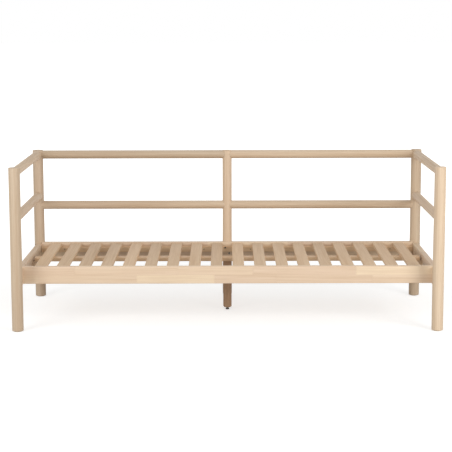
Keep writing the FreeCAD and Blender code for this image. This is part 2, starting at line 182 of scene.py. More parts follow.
class Shader:
    """Small helper that adds and joins a material's nodes."""

    def __init__(self, name):
        self.material = bpy.data.materials.new(FINISH_PREFIX + name)
        self.material.use_nodes = True
        self.nodes = self.material.node_tree.nodes
        self.links = self.material.node_tree.links
        self.nodes.clear()
        self.output = self.nodes.new("ShaderNodeOutputMaterial")

    def node(self, kind, values=None, **settings):
        """A new node with its settings, and its sockets' values or links by name."""
        made = self.nodes.new(kind)
        for key, value in settings.items():
            setattr(made, key, value)
        for key, value in (values or {}).items():
            self.feed(made.inputs[key], value)
        return made

    def feed(self, socket, value):
        if isinstance(value, bpy.types.NodeSocket):
            self.links.new(value, socket)
        else:
            socket.default_value = value

    def maths(self, operation, first, second=0.0, third=None):
        values = {0: first, 1: second}
        if third is not None:
            values[2] = third
        return self.node("ShaderNodeMath", values, operation=operation).outputs[0]

    def vector(self, operation, first, second):
        return self.node("ShaderNodeVectorMath", {0: first, 1: second}, operation=operation).outputs[0]

    def mix(self, factor, first, second):
        """Blend of two colours."""
        made = self.node("ShaderNodeMix", data_type="RGBA")
        self.feed(made.inputs["Factor"], factor)
        colour_sockets = [s for s in made.inputs if s.type == "RGBA"]
        self.feed(colour_sockets[0], first)
        self.feed(colour_sockets[1], second)
        return next(s for s in made.outputs if s.type == "RGBA")

    def steps(self, value, low, high, to_low=0.0, to_high=1.0):
        """A value mapped from one range to another and kept inside it."""
        fed = {"Value": value, "From Min": low, "From Max": high, "To Min": to_low, "To Max": to_high}
        return self.node("ShaderNodeMapRange", fed, clamp=True).outputs[0]

    def noise(self, place, scale, detail=3.0, roughness=0.55):
        fed = {"Vector": place, "Scale": scale, "Detail": detail, "Roughness": roughness}
        return self.node("ShaderNodeTexNoise", fed).outputs[0]

    def stretched(self, place, along, across):
        """Coordinates scaled along and across the grain, which runs along Z."""
        return self.vector("MULTIPLY", place, (across, across, along))

    def finish(self, colour, roughness, bump, bump_strength, bump_distance, **constants):
        """Surface shader with the given colour, roughness, bump and constant values."""
        relief = self.node("ShaderNodeBump", {
            "Height": bump, "Strength": bump_strength, "Distance": bump_distance}).outputs[0]
        surface = self.node("ShaderNodeBsdfPrincipled", {
            "Base Color": colour, "Roughness": roughness, "Normal": relief})
        for key, value in constants.items():
            surface.inputs[CONSTANT_SOCKETS[key]].default_value = value
        self.links.new(surface.outputs[0], self.output.inputs["Surface"])
        return self.material


GRAIN_TURNS = {"X": (0, math.pi / 2, 0), "Y": (math.pi / 2, 0, 0), "Z": (0, 0, 0)}
RING_SPACING = 4.2 * MM
WAVE_PERIOD = math.pi / 10          # distance between two crests of a wave texture at scale 1
FIBRE = (16.0, 900.0)               # noise cells per metre along and across the grain
STREAK = (3.0, 130.0)
CLOUD = (1.3, 24.0)
PORE = (110.0, 1500.0)
# a piece's tone also carries painted light and shade
TONE_DEPTH = 0.24                   # how much a piece's tone lightens or darkens its wood
STAVE_LENGTH = 430 * MM
FINGER_LENGTH = 11 * MM
FINGER_WIDTH = 4.4 * MM
GLUE_LINE = 0.35 * MM
FINGER_LINE = 3 * GLUE_LINE         # a finger joint's line is slanted, so it is drawn wider
ROW_SHIFT = 17.31                   # keeps the joints of a board's two rows out of line
HUE_SHARE = 0.62                    # how far the wood takes on its pink or yellow hue
RING_SHARE = 0.12                   # what each part of the grain adds to the share of dark wood
CLOUD_SHARE = 0.45
STREAK_SHARE = 0.55
FIBRE_SHARE = 0.25
STAVE_SHARE = -0.14
PORE_STRENGTH = 0.32
JOINT_STRENGTH = 0.30

# Tones: 0 is the plain wood, and less is darker. Besides each piece's own tone, these values hold painted
# light and shade: the posts and back rails at the left and the back are darkened as painted shade, the back
# board too, and the front board, battens and beam are lightened as painted light.
TONE_CHANCE = 0.12
HEART_NEAR = 35 * MM                # how far a piece's middle lies from the heart of its tree
HEART_FAR = 110 * MM
# posts: own tone plus painted shade, darker at the left and the back
POST_TONES_AND_SHADE = {"post_front_left": -0.6, "post_front_right": -0.1, "post_back_left": -0.9,
              "post_back_right": -0.75, "post_back_centre": -0.1}
# back rails: own tone plus painted shade, darker at the left
BACK_RAIL_TONES_AND_SHADE = {("top", "left"): -0.9, ("top", "right"): -0.35, ("mid", "left"): -0.6,
                   ("mid", "right"): -0.45}
ARM_RAIL_TONE = -0.3
SIDE_BOARD_TONE = -0.2
# front board lightened as painted light, back board darkened as painted shade
LONG_BOARD_TONES_AND_SHADE = {"front": 0.25, "back": -0.2}
# battens and beam lightened as painted light inside the seat
BAR_TONES_AND_LIGHT = {"slat_cleat_front": 0.6, "slat_cleat_back": 0.6, "centre_beam": 0.5}
# painted shade: the centre leg is darkened for the shade under the seat
LEG_SHADE = -1.3
SLAT_TONES = (-0.2, 0.35)
SLAT_HEARTS = ((0.03, -0.05, -0.12), (0.12, 0.05, -0.03))


def grain_place(shader, axis):
    """Coordinates whose Z runs along the grain and whose origin is the heart of the piece's tree."""
    coordinates = shader.node("ShaderNodeTexCoord").outputs["Object"]
    heart = shader.node("ShaderNodeAttribute", attribute_name="heart").outputs["Vector"]
    from_heart = shader.vector("SUBTRACT", coordinates, heart)
    turned = shader.node("ShaderNodeMapping", {"Vector": from_heart, "Rotation": GRAIN_TURNS[axis]})
    return turned.outputs[0]


def stave_blocks(shader, board_middle, stave_height):
    """Random value of each glued stave block, and how near a point is to a joint between blocks."""
    coordinates = shader.node("ShaderNodeTexCoord").outputs["Object"]
    split = shader.node("ShaderNodeSeparateXYZ", {0: coordinates}).outputs
    height = shader.maths("SUBTRACT", split["Z"], board_middle - 4 * stave_height)
    row = shader.maths("FLOOR", shader.maths("DIVIDE", height, stave_height))
    along = shader.maths("ADD", split["X"], split["Y"])
    fingers = shader.maths("PINGPONG", height, FINGER_WIDTH / 2)
    shifted = shader.maths("MULTIPLY_ADD", fingers, FINGER_LENGTH / (FINGER_WIDTH / 2), along)
    place = shader.maths("MULTIPLY_ADD", row, ROW_SHIFT, shader.maths("DIVIDE", shifted, STAVE_LENGTH))
    blocks = shader.node("ShaderNodeTexVoronoi", {"W": place, "Scale": 1.0}, voronoi_dimensions="1D")
    tint = shader.node("ShaderNodeSeparateColor", {0: blocks.outputs["Color"]}).outputs[0]
    edges = shader.node("ShaderNodeTexVoronoi", {"W": place, "Scale": 1.0}, voronoi_dimensions="1D",
                        feature="DISTANCE_TO_EDGE")
    finger_joint = shader.steps(edges.outputs["Distance"], 0.0, FINGER_LINE / STAVE_LENGTH, 1.0, 0.0)
    to_row_line = shader.maths("ABSOLUTE", shader.maths("SUBTRACT", split["Z"], board_middle))
    row_joint = shader.steps(to_row_line, 0.0, GLUE_LINE, 1.0, 0.0)
    return tint, shader.maths("MAXIMUM", finger_joint, row_joint)


def wood(name, axis, board=None, cast=(1.0, 1.0, 1.0)):
    """Pale hardwood with its grain along an axis; a board is glued up from finger-jointed staves. The cast
    tint paints warm reflected light on the slats and battens and warm shade on the centre leg, besides the
    wood's own hue.
    """
    shader = Shader(name)
    palette = {key: linear(getattr(colours(), key)) for key in
               ("wood_light", "wood_dark", "wood_pink", "wood_yellow", "end_grain")}
    place = grain_place(shader, axis)
    tone = shader.node("ShaderNodeAttribute", attribute_name="tone").outputs["Fac"]
    joint = None
    if board:
        tint, joint = stave_blocks(shader, *board)
        apart = shader.node("ShaderNodeCombineXYZ", {
            "X": shader.maths("MULTIPLY", tint, 0.05), "Y": shader.maths("MULTIPLY", tint, 0.03)})
        place = shader.vector("ADD", place, apart.outputs[0])
    else:
        tint = shader.noise(shader.stretched(place, 0.55, 2.5), 1.0, 1.0)
    clouds = shader.noise(shader.stretched(place, *CLOUD), 1.0, 3.0)
    streaks = shader.noise(shader.stretched(place, *STREAK), 1.0, 3.0, 0.6)
    rings = shader.node("ShaderNodeTexWave", {
        "Vector": shader.stretched(place, 0.06, 1.0), "Scale": WAVE_PERIOD / RING_SPACING,
        "Distortion": 5.0, "Detail": 2.0, "Detail Scale": 0.12, "Detail Roughness": 0.5},
        wave_type="RINGS", rings_direction="Z", wave_profile="SAW").outputs["Fac"]
    fibres = shader.noise(shader.stretched(place, *FIBRE), 1.0, 3.0, 0.65)
    pores = shader.noise(shader.stretched(place, *PORE), 1.0, 1.0)
    pore = shader.steps(pores, 0.69, 0.78)

    hue = shader.mix(shader.steps(tint, 0.15, 0.85), palette["wood_pink"], palette["wood_yellow"])
    light = shader.mix(HUE_SHARE, palette["wood_light"], hue)
    share = shader.maths("MULTIPLY_ADD", rings, RING_SHARE, shader.maths("MULTIPLY", clouds, CLOUD_SHARE))
    share = shader.maths("MULTIPLY_ADD", streaks, STREAK_SHARE, share)
    share = shader.maths("MULTIPLY_ADD", fibres, FIBRE_SHARE, share)
    share = shader.maths("MULTIPLY_ADD", tint, STAVE_SHARE if board else 0.0, share)
    colour = shader.mix(shader.steps(share, 0.42, 0.92), light, palette["wood_dark"])
    colour = shader.mix(shader.maths("MULTIPLY", pore, PORE_STRENGTH), colour, palette["end_grain"])
    if joint:
        colour = shader.mix(shader.maths("MULTIPLY", joint, JOINT_STRENGTH), colour, palette["end_grain"])
    # scales the colour by the piece's tone attribute, which holds the wood's own tone plus painted light and
    # shade
    level = shader.maths("MULTIPLY_ADD", tone, TONE_DEPTH, 1.0)
    colour = shader.node("ShaderNodeVectorMath", {0: colour, "Scale": level}, operation="SCALE").outputs[0]
    # Tints the colour: for the slats and battens partly the wood's own hue and partly painted warm reflected
    # light; for the centre leg painted warm shade.
    colour = shader.vector("MULTIPLY", colour, linear(cast)[:3])
    roughness = shader.steps(share, 0.4, 0.9, 0.50, 0.62)
    relief = shader.maths("SUBTRACT", shader.maths("MULTIPLY", fibres, 0.6), pore)
    if joint:
        relief = shader.maths("SUBTRACT", relief, joint)
    return shader.finish(colour, roughness, relief, 0.22, 0.12 * MM, specular=0.38)


def zinc_steel():
    """Zinc plating with a fine spangle and slight wear."""
    shader = Shader("zinc_steel")
    base = linear(colours().zinc)
    coordinates = shader.node("ShaderNodeTexCoord").outputs["Object"]
    spangle = shader.node("ShaderNodeTexVoronoi", {"Vector": coordinates, "Scale": 700.0}).outputs["Color"]
    grey = shader.node("ShaderNodeSeparateColor", {0: spangle}).outputs[0]
    smudge = shader.noise(coordinates, 160.0, 4.0)
    dark = tuple(channel * 0.62 for channel in base[:3]) + (1.0,)
    colour = shader.mix(shader.steps(smudge, 0.35, 0.75, 0.0, 0.6), base, dark)
    roughness = shader.maths("MULTIPLY_ADD", grey, 0.12, shader.steps(smudge, 0.3, 0.8, 0.26, 0.42))
    return shader.finish(colour, roughness, smudge, 0.1, 0.05 * MM, metallic=1.0)


def moulded_plastic(name, colour, roughness):
    """Moulded plastic with a fine even texture and faint flow marks."""
    shader = Shader(name)
    coordinates = shader.node("ShaderNodeTexCoord").outputs["Object"]
    texture = shader.noise(coordinates, 2600.0, 2.0)
    marks = shader.noise(shader.vector("MULTIPLY", coordinates, (1.0, 1.0, 4.0)), 90.0, 3.0)
    base = linear(colour)
    pale = tuple(min(1.0, channel * 1.35 + 0.004) for channel in base[:3]) + (1.0,)
    mixed = shader.mix(shader.steps(marks, 0.3, 0.75), base, pale)
    rough = shader.steps(texture, 0.3, 0.7, roughness - 0.06, roughness + 0.08)
    return shader.finish(mixed, rough, texture, 0.25, 0.06 * MM, specular=0.45)


def seat_board_finish(node):
    """Height of the joint between a seat board's two staves, and a stave's height."""
    return middle(node).z, extent(node).z / 2


MATERIALS = {
    "post_wood": lambda: wood("post_wood", "Z"),
    "back_rail_wood": lambda: wood("back_rail_wood", "X"),
    "arm_rail_wood": lambda: wood("arm_rail_wood", "Y"),
    "long_board_wood": lambda: wood("long_board_wood", "X", seat_board_finish("front_rail")),
    "side_board_wood": lambda: wood("side_board_wood", "Y", seat_board_finish("side_rail_left")),
    # slats and battens tinted partly with painted warm reflected light
    "slat_wood": lambda: wood("slat_wood", "Y", cast=colours().seat_hue_and_warm_light),
    "batten_wood": lambda: wood("batten_wood", "X", cast=colours().seat_hue_and_warm_light),
    # leg wood tinted with painted warm shade
    "leg_wood": lambda: wood("leg_wood", "Z", cast=colours().leg_shade_tint),
    "seat_block_wood": lambda: wood("seat_block_wood", "Y"),
    "pin_wood": lambda: wood("pin_wood", "Z"),
    "zinc_steel": zinc_steel,
    "foot_plastic": lambda: moulded_plastic("foot_plastic", colours().plastic, 0.42),
    "glide_nylon": lambda: moulded_plastic("glide_nylon", colours().nylon, 0.48),
}


def material(name):
    """The named finish, made the first time that it is asked for."""
    return bpy.data.materials.get(FINISH_PREFIX + name) or MATERIALS[name]()


def dress_node(name, finish):
    """Gives a frame node that is shown as it is a finish."""
    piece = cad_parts[name]
    piece.data.materials.clear()
    piece.data.materials.append(material(finish))


# ---------------------------------------------------------------- mesh tools


def mesh_piece(name, points, faces):
    """A closed mesh object with outward faces, shaded smooth except at its sharp edges."""
    mesh = bpy.data.meshes.new(name)
    work = bmesh.new()
    corners = [work.verts.new(point) for point in points]
    for face in faces:
        work.faces.new([corners[index] for index in face])
    bmesh.ops.remove_doubles(work, verts=work.verts, dist=1e-7)
    bmesh.ops.dissolve_degenerate(work, edges=work.edges, dist=1e-7)
    bmesh.ops.recalc_face_normals(work, faces=work.faces)
    work.to_mesh(mesh)
    work.free()
    mesh.shade_smooth()
    mesh.set_sharp_from_angle(angle=SMOOTH_ANGLE)
    piece = bpy.data.objects.new(name, mesh)
    bpy.context.scene.collection.objects.link(piece)
    return piece


def give_grain(piece, seed, tone=0.0):
    """Stores where the heart of the piece's tree lies and how light its wood is, with painted light and
    shade added for some pieces.
    """
    chance = random.Random(seed)
    count = len(piece.data.vertices)
    points = [v.co for v in piece.data.vertices]
    centre = sum(points, Vector()) / count
    away = [chance.choice((-1, 1)) * chance.uniform(HEART_NEAR, HEART_FAR) for _ in range(3)]
    heart = centre + Vector(away)
    heart_layer = piece.data.attributes.new("heart", "FLOAT_VECTOR", "POINT")
    heart_layer.data.foreach_set("vector", list(heart) * count)
    tone_layer = piece.data.attributes.new("tone", "FLOAT", "POINT")
    tone_layer.data.foreach_set("value", [tone + chance.uniform(-TONE_CHANCE, TONE_CHANCE)] * count)


def place_piece(piece, body, slot, finish, *nodes):
    """Gives a finished piece its material and its body, and hides the frame nodes that it stands for."""
    piece.data.materials.clear()
    piece.data.materials.append(material(finish))
    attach(piece, body)
    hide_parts(*nodes)
    return piece


def tube_faces(rows, count):
    """Faces of a closed tube whose points lie in rows of count: its sides, then its two ends."""
    faces = []
    for row in range(rows - 1):
        for step in range(count):
            after = (step + 1) % count
            faces.append((row * count + step, row * count + after,
                          (row + 1) * count + after, (row + 1) * count + step))
    faces.append(tuple(range(count)))
    faces.append(tuple(range((rows - 1) * count, rows * count)))
    return faces


def turned(name, profile, foot, count):
    """Solid of revolution about a vertical line through foot; the profile is (radius, height) pairs."""
    points = []
    for radius, height in profile:
        for step in range(count):
            angle = 2 * math.pi * step / count
            points.append((foot.x + radius * math.cos(angle), foot.y + radius * math.sin(angle), height))
    return mesh_piece(name, points, tube_faces(len(profile), count))


def quarter(radius, steps=5):
    """(inset, drop) pairs of a rounded edge, from the side of a bar to its top."""
    angles = [math.pi / 2 * step / steps for step in range(steps + 1)]
    return [(radius * (1 - math.cos(a)), radius * (1 - math.sin(a))) for a in angles]


def round_columns(radius, count):
    """Columns (across, low, high) of a round bar's section."""
    angles = [math.pi * step / (count // 2) for step in range(count // 2 + 1)]
    return [(-radius * math.cos(a), -radius * math.sin(a), radius * math.sin(a)) for a in angles]


def board_columns(width, height, rounding):
    """Columns (across, low, high) of a board's section, with rounded edges."""
    edge = [(inset - width / 2, height / 2 - drop) for inset, drop in quarter(rounding)]
    return [(u, -v, v) for u, v in edge] + [(-u, -v, v) for u, v in reversed(edge)]


def fitted_bar(name, axis, centre, columns, start, end):
    """A bar along a level axis whose ends follow start(across) and end(across), as round posts ask."""
    across = AXES["Y"] if axis == "X" else AXES["X"]
    ring = [(u, low) for u, low, high in columns] + [(u, high) for u, low, high in reversed(columns)]
    points = []
    for u, v in ring:
        side = centre + across * u + AXES["Z"] * v
        for stop in (start, end):
            point = side.copy()
            setattr(point, axis.lower(), stop(u))
            points.append(point)
    count = len(ring)
    faces = []
    for step in range(count):
        after = (step + 1) % count
        faces.append((2 * step, 2 * after, 2 * after + 1, 2 * step + 1))
    for step in range(len(columns) - 1):
        opposite = count - 1 - step
        cap = (step, step + 1, opposite - 1, opposite)
        faces.append(tuple(2 * index for index in cap))
        faces.append(tuple(2 * index + 1 for index in cap))
    return mesh_piece(name, points, faces)


def plain(value):
    """An end that is cut square."""
    return lambda across: value


def round_post_end(post_axis, post_radius, towards, offset=0.0):
    """An end hollowed to a round post: towards is the way from the post into the bar."""
    def reach(across):
        inside = max(post_radius ** 2 - (across + offset) ** 2, 0.0)
        return post_axis + towards * math.sqrt(inside)
    return reach


def cut_away(piece, cutters):
    """Subtracts closed meshes from a piece and removes them."""
    for cutter in cutters:
        tool = piece.modifiers.new("cut", "BOOLEAN")
        tool.operation = "DIFFERENCE"
        tool.solver = "EXACT"
        tool.object = cutter
    depsgraph = bpy.context.evaluated_depsgraph_get()
    mesh = bpy.data.meshes.new_from_object(piece.evaluated_get(depsgraph))
    piece.modifiers.clear()
    piece.data = mesh
    mesh.shade_smooth()
    mesh.set_sharp_from_angle(angle=SMOOTH_ANGLE)
    for cutter in cutters:
        bpy.data.objects.remove(cutter)


def cutting_rod(start, direction, radius, length, count=24):
    """Round cutter from a point along a direction."""
    rod = turned("cutter", [(radius, 0.0), (radius, length)], Vector(), count)
    rod.data.transform(Matrix.Translation(start) @ direction.to_track_quat("Z", "Y").to_matrix().to_4x4())
    return rod


def cutting_box(low, high):
    """Box cutter between two corners."""
    centre = (low + high) / 2
    size = high - low
    columns = [(-size.y / 2, -size.z / 2, size.z / 2), (size.y / 2, -size.z / 2, size.z / 2)]
    return fitted_bar("cutter", "X", centre, columns, plain(low.x), plain(high.x))


def solids(node):
    """(lowest, highest) corner of each separate solid of a frame node, in a fixed order."""
    work = bmesh.new()
    work.from_mesh(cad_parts[node].data)
    bmesh.ops.remove_doubles(work, verts=work.verts, dist=1e-6)
    left = set(work.verts)
    boxes = []
    while left:
        group = [left.pop()]
        low, high = group[0].co.copy(), group[0].co.copy()
        while group:
            corner = group.pop()
            low = Vector(map(min, low, corner.co))
            high = Vector(map(max, high, corner.co))
            for edge in corner.link_edges:
                other = edge.other_vert(corner)
                if other in left:
                    left.remove(other)
                    group.append(other)
        boxes.append((low, high))
    work.free()
    return sorted(boxes, key=lambda pair: tuple(round(c, 5) for c in pair[0]))


# ---------------------------------------------------------------- node trees


class Tree:
    """Small helper that builds a Geometry Nodes tree."""

    def __init__(self, name, inputs):
        self.tree = bpy.data.node_groups.new(name, "GeometryNodeTree")
        self.tree.is_modifier = True
        face = self.tree.interface
        face.new_socket(name="Geometry", in_out="OUTPUT", socket_type="NodeSocketGeometry")
        face.new_socket(name="Geometry", in_out="INPUT", socket_type="NodeSocketGeometry")
        for label, kind in inputs:
            face.new_socket(name=label, in_out="INPUT", socket_type=kind)
        self.given = self.tree.nodes.new("NodeGroupInput").outputs
        self.result = self.tree.nodes.new("NodeGroupOutput").inputs["Geometry"]

    def node(self, kind, values=None, **settings):
        made = self.tree.nodes.new(kind)
        for key, value in settings.items():
            setattr(made, key, value)
        for key, value in (values or {}).items():
            if isinstance(value, bpy.types.NodeSocket):
                self.tree.links.new(value, made.inputs[key])
            else:
                made.inputs[key].default_value = value
        return made

    def chance(self, low, high, seed, kind="FLOAT"):
        """Random value between two limits for each element."""
        made = self.node("FunctionNodeRandomValue", data_type=kind)
        live = [s for s in made.inputs if s.enabled and s.name in ("Min", "Max")]
        live[0].default_value = low
        live[1].default_value = high
        self.tree.links.new(seed, made.inputs["Seed"])
        return next(s for s in made.outputs if s.enabled)

    def close(self, geometry, finish):
        """Ends the tree in real geometry with its material."""
        real = self.node("GeometryNodeRealizeInstances", {"Geometry": geometry}).outputs[0]
        dressed = self.node("GeometryNodeSetMaterial", {"Geometry": real, "Material": finish}).outputs[0]
        self.tree.links.new(dressed, self.result)
        return self.tree


def slat_tree():
    """Equal bars side by side: a rounded section drawn along Y and repeated along X."""
    tree = Tree("row_of_slats", (
        ("Count", "NodeSocketInt"), ("First", "NodeSocketVector"), ("Step", "NodeSocketVector"),
        ("Width", "NodeSocketFloat"), ("Thickness", "NodeSocketFloat"), ("Length", "NodeSocketFloat"),
        ("Rounding", "NodeSocketFloat"), ("Seed", "NodeSocketInt"), ("Finish", "NodeSocketMaterial")))
    given = tree.given
    section = tree.node("GeometryNodeCurvePrimitiveQuadrilateral",
                        {"Width": given["Width"], "Height": given["Thickness"]}).outputs[0]
    eased = tree.node("GeometryNodeFilletCurve",
                      {"Curve": section, "Radius": given["Rounding"], "Count": 4}, mode="POLY").outputs[0]
    back = tree.node("ShaderNodeCombineXYZ", {"Y": given["Length"]}).outputs[0]
    way = tree.node("GeometryNodeCurvePrimitiveLine", {"End": back}).outputs[0]
    bar = tree.node("GeometryNodeCurveToMesh",
                    {"Curve": way, "Profile Curve": eased, "Fill Caps": True}).outputs[0]
    flat = tree.node("GeometryNodeSetShadeSmooth", {"Geometry": bar, "Shade Smooth": False}).outputs[0]
    row = tree.node("GeometryNodeMeshLine", {
        "Count": given["Count"], "Start Location": given["First"], "Offset": given["Step"]},
        mode="OFFSET").outputs[0]
    placed = tree.node("GeometryNodeInstanceOnPoints", {"Points": row, "Instance": flat}).outputs[0]
    tone = tree.chance(*SLAT_TONES, given["Seed"])
    toned = tree.node("GeometryNodeStoreNamedAttribute", {
        "Geometry": placed, "Name": "tone", "Value": tone},
        data_type="FLOAT", domain="INSTANCE").outputs[0]
    centre = tree.node("GeometryNodeInputPosition").outputs[0]
    shift = tree.chance(*SLAT_HEARTS, given["Seed"], "FLOAT_VECTOR")
    heart = tree.node("ShaderNodeVectorMath", {0: centre, 1: shift}, operation="ADD").outputs[0]
    grained = tree.node("GeometryNodeStoreNamedAttribute", {
        "Geometry": toned, "Name": "heart", "Value": heart},
        data_type="FLOAT_VECTOR", domain="INSTANCE").outputs[0]
    return tree.close(grained, given["Finish"])


def fitting_tree():
    """One fitting at every point, its head facing the point's aim and turned by chance."""
    tree = Tree("fittings_at_points", (
        ("Fitting", "NodeSocketObject"), ("Seed", "NodeSocketInt"), ("Finish", "NodeSocketMaterial")))
    given = tree.given
    shape = tree.node("GeometryNodeObjectInfo", {"Object": given["Fitting"]}).outputs["Geometry"]
    aim = tree.node("GeometryNodeInputNamedAttribute", {"Name": "aim"}, data_type="FLOAT_VECTOR")
    facing = tree.node("FunctionNodeAlignRotationToVector",
                       {"Vector": aim.outputs["Attribute"]}, axis="Z").outputs[0]
    chance = tree.chance(0.0, 2 * math.pi, given["Seed"])
    turn = tree.node("ShaderNodeCombineXYZ", {"Z": chance}).outputs[0]
    spin = tree.node("FunctionNodeEulerToRotation", {0: turn}).outputs[0]
    both = tree.node("FunctionNodeRotateRotation", {"Rotation": facing, "Rotate By": spin},
                     rotation_space="LOCAL").outputs[0]
    placed = tree.node("GeometryNodeInstanceOnPoints",
                       {"Points": given["Geometry"], "Instance": shape, "Rotation": both}).outputs[0]
    return tree.close(placed, given["Finish"])


def grown(carrier, tree, values):
    """The plain mesh that a tree makes on a carrier with the given inputs; the modifier is removed."""
    growth = carrier.modifiers.new("growth", "NODES")
    growth.node_group = tree
    for item in tree.interface.items_tree:
        if item.in_out == "INPUT" and item.name in values:
            growth[item.identifier] = values[item.name]
    depsgraph = bpy.context.evaluated_depsgraph_get()
    mesh = bpy.data.meshes.new_from_object(carrier.evaluated_get(depsgraph))
    carrier.modifiers.remove(growth)
    carrier.data = mesh
    mesh.name = carrier.name
    return carrier


def points_piece(name, places, aims):
    """Loose points, each with the way that its fitting faces."""
    mesh = bpy.data.meshes.new(name)
    mesh.from_pydata([tuple(place) for place in places], [], [])
    layer = mesh.attributes.new("aim", "FLOAT_VECTOR", "POINT")
    layer.data.foreach_set("vector", [c for aim in aims for c in aim])
    piece = bpy.data.objects.new(name, mesh)
    bpy.context.scene.collection.objects.link(piece)
    return piece


# ---------------------------------------------------------------- fittings


def bolt_shape(length, head_radius, shank_radius, head_height, socket_flats):
    """Socket-head bolt with its head's top at the origin, facing +Z, and its shank below."""
    count = 24
    socket_share = 0.58
    depth = head_height * socket_share
    corner = socket_flats / math.sqrt(3)
    eased = 0.6 * MM

    def hexagon(angle):
        return corner * math.cos(math.pi / 6) / math.cos((angle % (math.pi / 3)) - math.pi / 6)

    rings = [(hexagon, -depth), (hexagon, 0.0), (head_radius - eased, 0.0), (head_radius, -eased),
             (head_radius, -head_height), (shank_radius, -head_height), (shank_radius, -length + eased),
             (shank_radius - eased, -length)]
    points = []
    for radius, height in rings:
        for step in range(count):
            angle = 2 * math.pi * step / count
            reach = radius(angle) if callable(radius) else radius
            points.append((reach * math.cos(angle), reach * math.sin(angle), height))
    return mesh_piece("bolt_shape", points, tube_faces(len(rings), count))


def screw_shape(length, head_radius):
    """Countersunk screw with its head's top at the origin, facing +Z, and a cross recess."""
    shank = head_radius / 2
    tip = 0.3 * MM
    taper = 4 * MM
    cone = 3 * MM
    rim = 0.2 * MM
    profile = [(tip, -length), (shank, -length + taper), (shank, -cone), (head_radius, -rim),
               (head_radius - rim, 0.0)]
    screw = turned("screw_shape", profile, Vector(), 20)
    reach = 2.4 * MM
    half_width = 0.5 * MM
    depth = 1.4 * MM
    slots = []
    for x, y in ((reach, half_width), (half_width, reach)):
        slots.append(cutting_box(Vector((-x, -y, -depth)), Vector((x, y, MM))))
    cut_away(screw, slots)
    return screw


def barrel_shape(length, radius):
    """Barrel nut with one face at the origin, facing +Z, and a driver slot across it."""
    eased = 0.5 * MM
    profile = [(radius - eased, -length), (radius, -length + eased), (radius, -eased), (radius - eased, 0.0)]
    nut = turned("barrel_shape", profile, Vector(), 28)
    reach = radius * 0.8
    half_width = 0.6 * MM
    depth = 1.2 * MM
    slot = cutting_box(Vector((-reach, -half_width, -depth)), Vector((reach, half_width, MM)))
    cut_away(nut, [slot])
    return nut


def fit(node, shape, aims, seed):
    """Puts one fitting in the place of each solid of a frame node; aims gives the way its head faces."""
    places = []
    ways = []
    for low, high in solids(node):
        centre = (low + high) / 2
        way = Vector(aims(centre))
        to_head = Vector([c * size / 2 for c, size in zip(way, high - low)])
        places.append(centre + to_head)
        ways.append(way)
    tree = bpy.data.node_groups.get("fittings_at_points") or fitting_tree()
    carrier = points_piece(node + "_set", places, ways)
    grown(carrier, tree, {"Fitting": shape, "Seed": seed, "Finish": material("zinc_steel")})
    carrier.data.set_sharp_from_angle(angle=SMOOTH_ANGLE)
    bpy.data.objects.remove(shape)
    check_box(carrier, node)
    return place_piece(carrier, "root", "zinc_steel", "zinc_steel", node)


def check_box(piece, *nodes):
    """Raises an error if a piece leaves the box of the frame nodes that it stands for."""
    boxes = [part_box(node) for node in nodes]
    points = [v.co for v in piece.data.vertices]
    for axis in range(3):
        low = min(box[0][axis] for box in boxes)
        high = max(box[1][axis] for box in boxes)
        start = min(p[axis] for p in points)
        stop = max(p[axis] for p in points)
        if start < low - BOX_SLACK or stop > high + BOX_SLACK:
            raise RuntimeError(f"{piece.name} leaves the box of {nodes[0]} along axis {axis}: "
                               f"{start:.4f} to {stop:.4f}, not {low:.4f} to {high:.4f}")


def threaded_rod(name, foot, low, high, radius, pitch, depth, count=24, rows=6):
    """Rod with a real helical thread, tapered at both ends and closed."""
    lines = int((high - low) / pitch * rows)
    points = []
    for line in range(lines + 1):
        height = low + (high - low) * line / lines
        ease = min(1.0, line / (rows * 0.8), (lines - line) / (rows * 0.8))
        for step in range(count):
            angle = 2 * math.pi * step / count
            phase = (height / pitch - step / count) % 1.0
            crest = 1.0 - abs(2.0 * phase - 1.0)
            reach = radius - depth + depth * crest * ease
            points.append((foot.x + reach * math.cos(angle), foot.y + reach * math.sin(angle), height))
    return mesh_piece(name, points, tube_faces(lines + 1, count))


def joined(name, parts):
    """One object that holds several closed meshes."""
    work = bmesh.new()
    for part in parts:
        work.from_mesh(part.data)
    mesh = bpy.data.meshes.new(name)
    work.to_mesh(mesh)
    work.free()
    mesh.shade_smooth()
    mesh.set_sharp_from_angle(angle=SMOOTH_ANGLE)
    piece = bpy.data.objects.new(name, mesh)
    bpy.context.scene.collection.objects.link(piece)
    for part in parts:
        bpy.data.objects.remove(part)
    return piece


# ---------------------------------------------------------------- operators


HEAD_ROOM = 0.5 * MM                # around a bolt's head
HEAD_BORE_DEPTH = 6 * MM
BORE_CLEARANCE = 20 * MM            # how far a cutter reaches outside a round post or a board
NUT_ROOM = 0.1 * MM
BOLT_RADIUS = 3 * MM
BOLT_HEAD_HEIGHT = 6 * MM
LEG_TENON_RADIUS = 10 * MM
BEAM_SCREW_DEPTH = 12 * MM          # the beam's own screws have their middles above this depth
STUD_RADIUS = 4 * MM
STUD_PLAY = 0.05 * MM
PAD_RIM = 2 * MM
PAD_TOP_SHARE = 0.85
SOCKET_FLOOR = 2 * MM
COLLAR_PLAY = 0.3 * MM
COLLAR_HEIGHT = 3 * MM


def post_profile(low, high, radius):
    """Profile of a post with a small chamfer below and a rounded top edge."""
    foot = sizes().foot_chamfer
    profile = [(radius - foot, low), (radius, low + foot)]
    profile += [(radius - inset, high - drop) for inset, drop in quarter(sizes().post_rounding)]
    return profile


